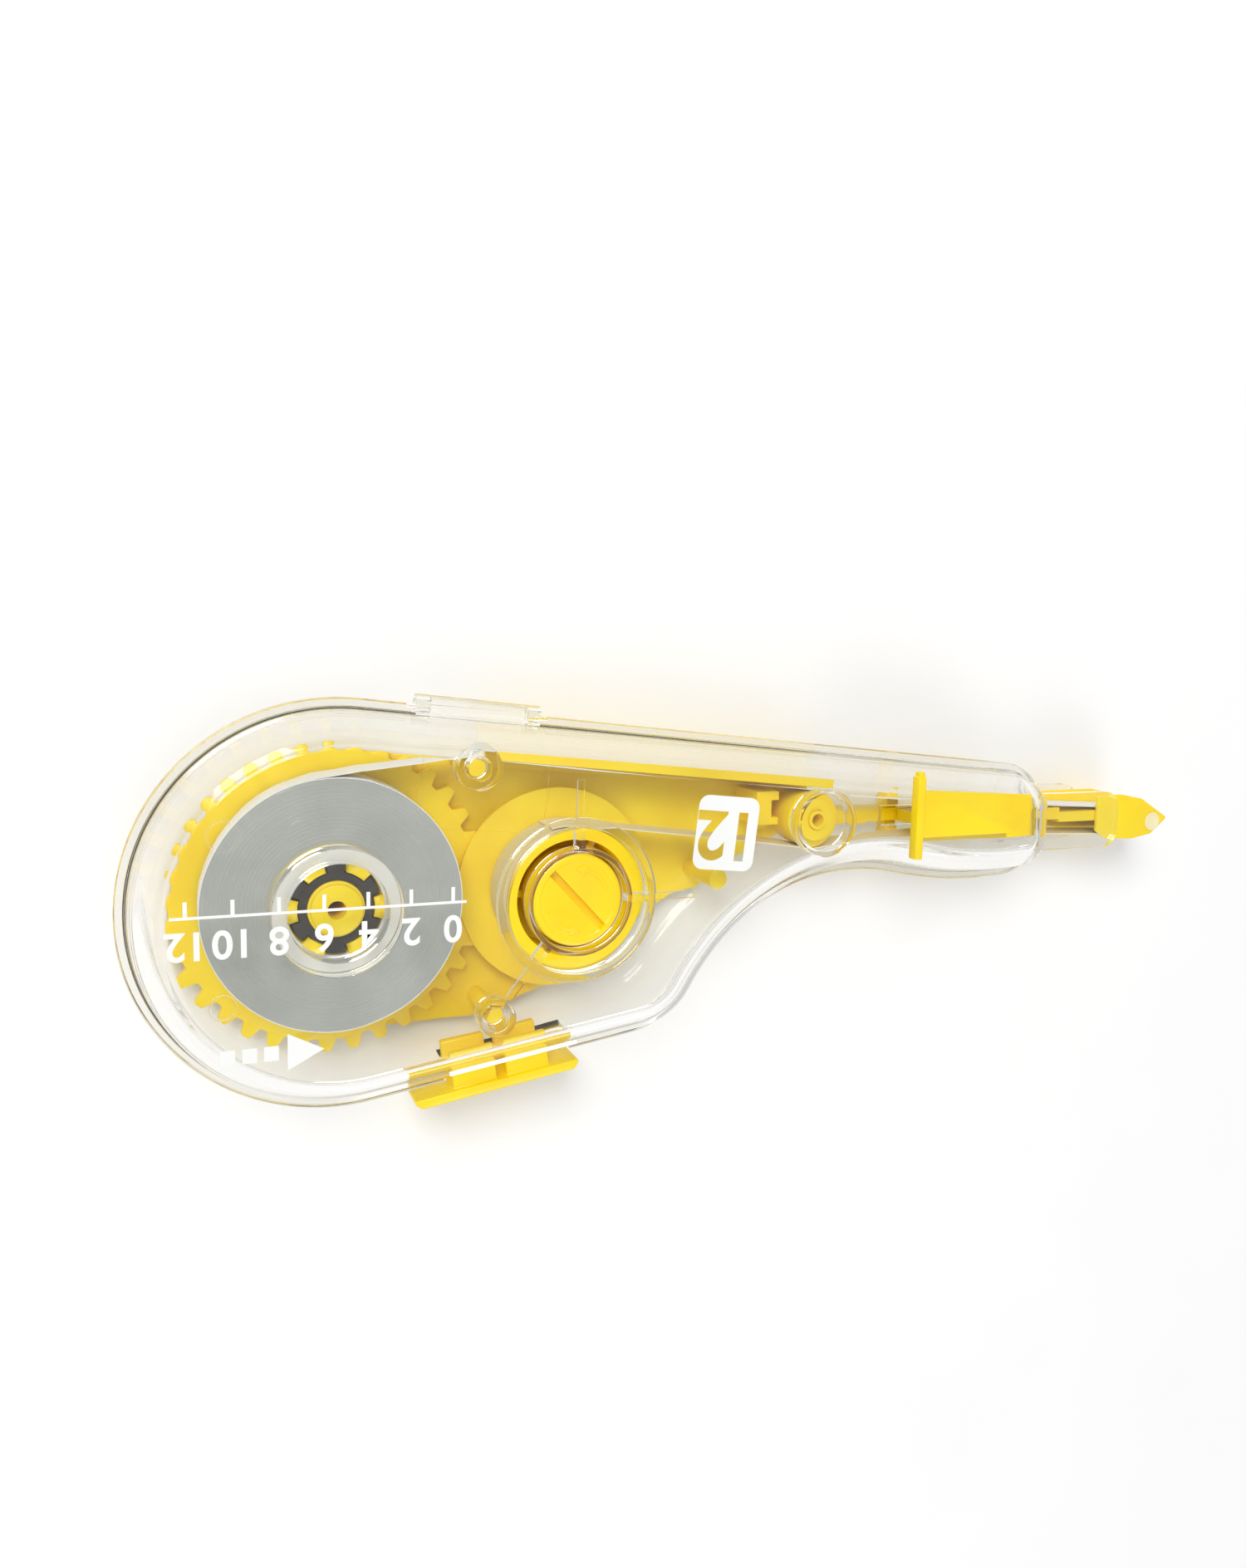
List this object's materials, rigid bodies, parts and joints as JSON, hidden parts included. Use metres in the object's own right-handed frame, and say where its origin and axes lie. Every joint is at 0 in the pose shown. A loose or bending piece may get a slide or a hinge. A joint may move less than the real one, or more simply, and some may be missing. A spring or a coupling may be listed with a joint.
{
  "type": "correction tape roller",
  "caption": "Hand-held correction tape roller: clear teardrop case in two hinged halves, geared supply and take-up spools, sliding head with a tip roller, and an edge lock.",
  "frame": {"origin": "on the supply spool's axis, on the outside of the back half of the case", "axes": "+X towards the tip, +Y across the case towards the hinge, +Z through the case towards the front face"},
  "size_m": [0.1396, 0.0473, 0.0156],
  "materials": {
    "clear_case": "clear glossy polystyrene",
    "yellow_plastic": "satin moulded yellow",
    "dark_rubber": "matte dark elastomer",
    "tape_grey": "wound tape edge",
    "tape_white": "matte white coating on film",
    "film_cream": "bare carrier film",
    "roller_cream": "soft pressing roller"
  },
  "bodies": {
    "case": {"case_back": "clear_case", "chassis": "yellow_plastic", "axle_cap": "yellow_plastic", "tape_strand": "tape_white", "film_strand": "film_cream"},
    "front": {"case_front": "clear_case"},
    "lock": {"case_lock": "yellow_plastic"},
    "thumb": {"thumb_slide": "yellow_plastic"},
    "head": {"head_frame": "yellow_plastic", "head_plate_front": "yellow_plastic", "head_plate_back": "yellow_plastic", "tip_pin": "roller_cream", "tip_tape": "tape_white"},
    "tip": {"tip_roller": "roller_cream"},
    "drive": {"supply_gear": "yellow_plastic"},
    "spool": {"supply_hub": "yellow_plastic", "clutch_ring": "dark_rubber", "tape_roll": "tape_grey"},
    "takeup": {"takeup_gear": "yellow_plastic", "takeup_spool": "yellow_plastic", "used_film": "film_cream", "wind_knob": "yellow_plastic"},
    "guide": {"guide_roller": "yellow_plastic"}
  },
  "joints": [
    {"name": "front_hinge", "type": "hinge", "parent": "case", "child": "front", "pos_m": [0.00311, 0.02264, 0.007], "axis": [-0.9951, 0.0993, 0], "range_deg": [0, 110]},
    {"name": "lock_slide", "type": "slide", "parent": "case", "child": "lock", "axis": [0.989, 0.1478, 0], "range_m": [0, 0.003]},
    {"name": "head_slide", "type": "slide", "parent": "case", "child": "head", "axis": [1, 0, 0], "range_m": [-0.0075, 0]},
    {"name": "thumb_travel", "type": "slide", "parent": "front", "child": "thumb", "axis": [1, 0, 0], "range_m": [-0.0075, 0]},
    {"name": "tip_spin", "type": "hinge", "parent": "head", "child": "tip", "pos_m": [0.1146, 0.0053, 0.007], "axis": [0, 0, 1], "continuous": true},
    {"name": "drive_spin", "type": "hinge", "parent": "case", "child": "drive", "pos_m": [0, 0, 0.003], "axis": [0, 0, 1], "continuous": true},
    {"name": "clutch_slip", "type": "hinge", "parent": "drive", "child": "spool", "pos_m": [0, 0, 0.007], "axis": [0, 0, 1], "continuous": true},
    {"name": "takeup_spin", "type": "hinge", "parent": "case", "child": "takeup", "pos_m": [0.027, -0.00028, 0.003], "axis": [0, 0, 1], "continuous": true},
    {"name": "guide_spin", "type": "hinge", "parent": "case", "child": "guide", "pos_m": [0.0593, 0.0076, 0.007], "axis": [0, 0, 1], "continuous": true}
  ],
  "couplings": [
    {"joint": "takeup_spin", "follows": "drive_spin", "ratio": -2},
    {"joint": "thumb_travel", "follows": "head_slide", "ratio": 1}
  ]
}
